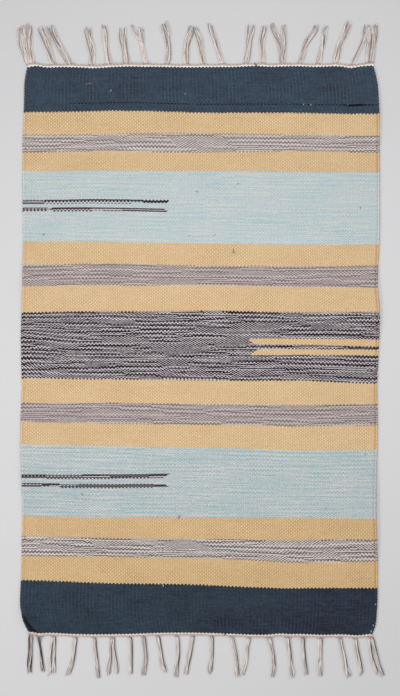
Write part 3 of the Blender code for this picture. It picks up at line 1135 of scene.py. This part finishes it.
def selvedge_painted_shade(graph, rib, inside, stripe):
    """How much painted shade the grooves beside the selvedges take, and the rims."""
    groove = graph.clamp(1.3 - abs(inside - SELVEDGE_RIBS) / GROOVE_WIDTH)
    groove = graph.clamp(groove + (inside < SELVEDGE_RIBS) * RIM_SHADE)
    groove = groove * graph.blend(rib > RIBS / 2.0, LEFT_GROOVE, 1.0)
    return groove * graph.clamp(1.0 - stripe * GROOVE_FADE)


def float_height(graph, rib, along, marl, lean):
    """The relief of the picks' floats over the ribs, from 0 to about 1."""
    crest = abs(graph.math("SINE", rib * math.pi))
    pick = along / graph.blend(marl, PICK, MARL_PICK)
    pick = (pick + graph.noise(PICK_STRAY, rib * RIB_PITCH, along)) * math.pi
    rising = graph.math("SINE", rib * math.pi + pick)
    falling = graph.math("SINE", rib * math.pi - pick)
    return 0.5 * crest + 0.25 * (rising + falling + 0.2 * lean * (rising - falling))


def weft_material():
    """Every weft yarn, told apart by where it lies along the warps."""
    graph = Graph("kilim weft")
    rib, along = graph.read("Weave")
    x, column = rib * RIB_PITCH, graph.floor(rib)
    sign = graph.parity(column)
    lean = graph.clamp(graph.noise(LEAN, x, along), -1.0, 1.0)
    lean = lean * abs(lean)
    even = along + graph.noise(EDGE_STRAY, x, along)
    teeth = sign * TOOTH * (graph.noise(TOOTH_STRAY, x, along) + 0.9)
    number = band_number(x, even, teeth)
    yarns = [YARNS[name] for name, *_ in reversed(BANDS)]
    looks = zip(*(yarn.colours() for yarn in yarns))
    looks = [graph.choose(number, colours) for colours in looks]
    ground = graph.choose(number, [(yarn.ground,) * 3 + (1.0,) for yarn in yarns])
    covered, pale = {}, {}
    for bars, side in ((LEFT_BARS, -1.0), (RIGHT_BARS, 1.0)):
        level = along + sign * BAR_TOOTH[side]
        covered[side], pale[side] = inlaid(graph, bars, side, rib, level, sign)
        inlay = YARNS[bars[0].yarn].colours()
        looks = [graph.mix(covered[side], *pair) for pair in zip(looks, inlay)]
    dark, light, traits = looks
    marl, stripe, lattice = graph.split(traits)

    plain = plain_tone(graph, rib, along, column, sign, stripe)
    plain = plain + (number < 0.5) * (PALE_CORNER - x / PALE_REACH)
    marled = marl_tone(graph, rib, even, column, sign, lean, graph.split(ground)[0])
    tone = graph.blend(marl, plain, marled)
    tone = graph.blend(covered[-1.0], tone, pale[-1.0] * 2.0 - 1.0)
    colour = graph.mix(graph.clamp(tone * 0.5 + 0.5), dark, light)

    floats = float_height(graph, rib, along, marl, lean)
    missing = missing_pick(graph, x, along, sign)
    inside = graph.math("MINIMUM", rib, RIBS - rib)
    shade = 1.0 + lattice * (graph.noise(LATTICE_STRAY, x, along) + 0.45) * (floats - 0.4)
    shade = shade * (1.0 - 0.95 * missing) * (1.0 - CREASE_SHADE * graph.read("Crease")[0])
    # A painted highlight where the weft turns round the outer warps.
    shade = shade * (1.0 + RIM_PAINTED_HIGHLIGHT * (inside < RIM_RIBS))
    colour = graph.scale(colour, shade)
    # Painted shade in the selvedge grooves and on the rims.
    groove_shade = selvedge_painted_shade(graph, rib, inside, stripe)
    colour = graph.mix(groove_shade, colour, GROOVE_PAINTED_SHADE, blend_type="MULTIPLY")
    fibre = graph.noise(FIBRE, x, along, detail=2.0)
    graph.bump(floats * (0.3 + lattice) + fibre - missing, RELIEF)
    return graph.finish(colour, roughness=0.92, sheen=0.08)


def warp_material(name, light, dark, root_shade=0.0):
    """Undyed cotton, a little different on every strand, with painted shade at its root and on dark
    strands.
    """
    graph = Graph(name)
    tone, along = graph.read("Weave")
    stray = graph.noise(STRAND_STRAY, tone, along) + tone * 2.2 - 1.2
    colour = graph.mix(graph.clamp(stray * 0.5 + 0.5), linear(dark), linear(light))
    root = 1.0 - graph.clamp(1.0 - along / ROOT_REACH) * root_shade
    # Tones below 0 darken the dark strands further: painted shade.
    colour = graph.scale(colour, graph.clamp(tone + 1.0) * root)
    graph.bump(graph.noise(STRAND_FIBRE, tone, along, detail=2.0), YARN_RELIEF)
    return graph.finish(colour, roughness=0.9, sheen=0.2)


def slub_material():
    """Stray yarn of other colours."""
    graph = Graph("stray yarn")
    tint, along = graph.read("Weave")
    colour = graph.choose(tint, [linear(tone) for tone in TINTS.values()])
    fibre = graph.noise(SLUB_FIBRE, along, tint, detail=2.0)
    colour = graph.mix(graph.clamp(fibre * 0.3 + 0.3), colour, SLUB_DUST)
    graph.bump(fibre, YARN_RELIEF)
    return graph.finish(colour, roughness=0.95, sheen=0.2)


def floor_material():
    """A plain pale studio floor."""
    graph = Graph("studio floor")
    grain = graph.put("TexNoise", {"Scale": 3.0})
    colour = graph.mix(grain, linear(FLOOR_COLOUR), linear([part + 2 for part in FLOOR_COLOUR]))
    return graph.finish(colour, roughness=0.95, sheen=0.0)


# ---- studio


def add_light(name, place, target, size, power, colour):
    """A soft square light that looks at a target."""
    lamp = bpy.data.lights.new(name, "AREA")
    lamp.size, lamp.energy, lamp.color = size, power, colour
    light = new_object(name, lamp)
    light.location = place
    light.visible_camera = False
    light.rotation_euler = (Vector(target) - Vector(place)).to_track_quat("-Z", "Y").to_euler()


def add_studio():
    """Floor, lights and the camera looking straight down."""
    scene = bpy.context.scene
    scene.view_settings.view_transform = "Standard"
    mesh = bpy.data.meshes.new("studio_floor")
    ways = ((-1, -1), (1, -1), (1, 1), (-1, 1))
    ground = [(x * FLOOR_SIZE, y * FLOOR_SIZE, FLOOR_DROP) for x, y in ways]
    mesh.from_pydata(ground, [], [(0, 1, 2, 3)])
    mesh.materials.append(floor_material())
    floor = new_object("studio_floor", mesh)

    world = bpy.data.worlds.new("studio")
    world.use_nodes = True
    sky = world.node_tree.nodes["Background"]
    sky.inputs["Color"].default_value = SKY_COLOUR
    sky.inputs["Strength"].default_value = SKY
    scene.world = world
    for light in LIGHTS:
        add_light(*light)

    camera = new_object("camera", bpy.data.cameras.new("camera"))
    camera.data.lens = LENS
    camera.location = (0.0, VIEW_CENTRE, VIEW_HEIGHT * LENS / camera.data.sensor_width)
    scene.camera = camera


def main():
    """Dress the CAD frame in the rug's looks."""
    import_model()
    weft = weft_material()
    cotton = {name: warp_material(name + " cotton", *tones) for name, tones in COTTONS.items()}
    field = make_field(weft)
    turns = [make_turns("selvedge_left", -1.0, weft), make_turns("selvedge_right", 1.0, weft)]
    slubs = make_slubs("slubs", slub_material())
    ends = []
    far, near = cotton["far warp"], cotton["near warp"]
    strays = BACK_TASSELS + BACK_STRAYS
    back = make_bunches("fringe_back_bunches", 1.0, strays, BACK_LOOSENESS, far)
    front = make_bunches("fringe_front_bunches", -1.0, FRONT_TASSELS, FRONT_LOOSENESS, near)
    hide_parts("fringe_back")
    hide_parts("fringe_front")
    for name, side, tassels, yarn in (
        ("back", 1.0, BACK_TASSELS, cotton["header"]),
        ("front", -1.0, FRONT_TASSELS, cotton["front header"]),
    ):
        ends.append(make_header(f"header_{name}", side, tassels, yarn))
        ends.append(make_cord(f"cord_{name}", side, tassels, cotton["twined"]))
    ends += [back, front]
    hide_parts("field")
    for piece in [field, slubs] + turns + ends:
        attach(piece, "root")
    add_studio()


main()
